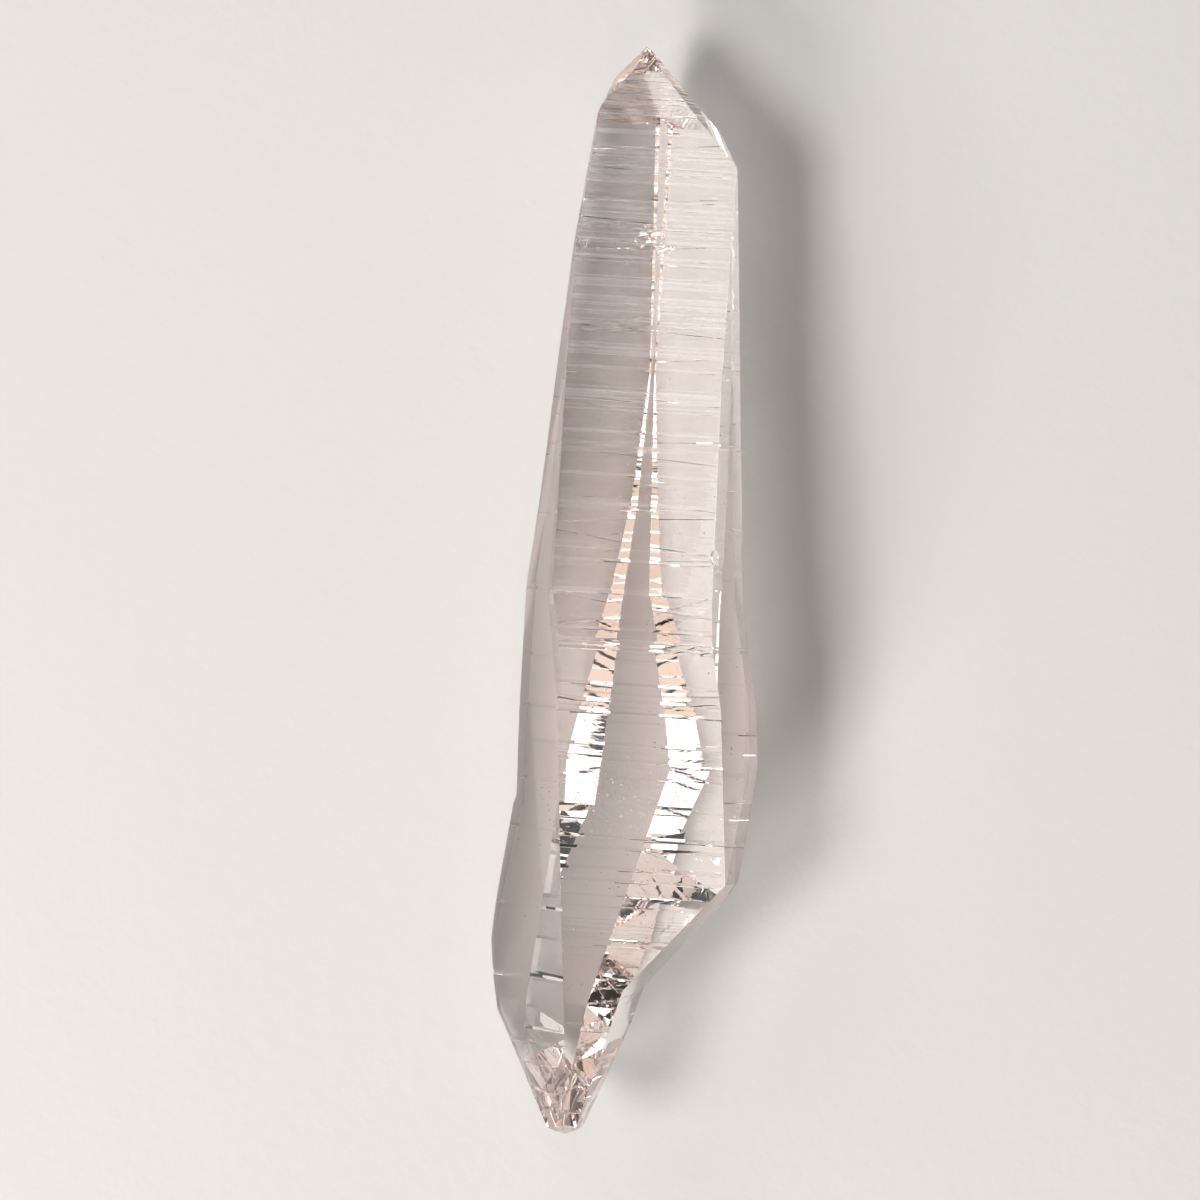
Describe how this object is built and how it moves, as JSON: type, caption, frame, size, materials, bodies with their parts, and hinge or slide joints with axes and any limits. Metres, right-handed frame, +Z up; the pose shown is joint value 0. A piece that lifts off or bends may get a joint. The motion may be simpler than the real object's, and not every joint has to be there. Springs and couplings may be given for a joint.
{
  "type": "quartz crystal point",
  "caption": "Long clear quartz point with flat prism faces, ladder-like growth ledges, an off-centre point and a cleaved tip, lying on its narrow back face.",
  "frame": {"origin": "on the resting plane, under the middle of the bounding box", "axes": "+Y along the crystal's c axis towards its point, +Z up from the resting face through the broad face, +X to the right seen from above with the point away"},
  "size_m": [0.0247, 0.105, 0.0216],
  "materials": {
    "quartz": "clear, polished growth faces"
  },
  "bodies": {
    "root": {"quartz_point": "quartz"}
  },
  "joints": []
}
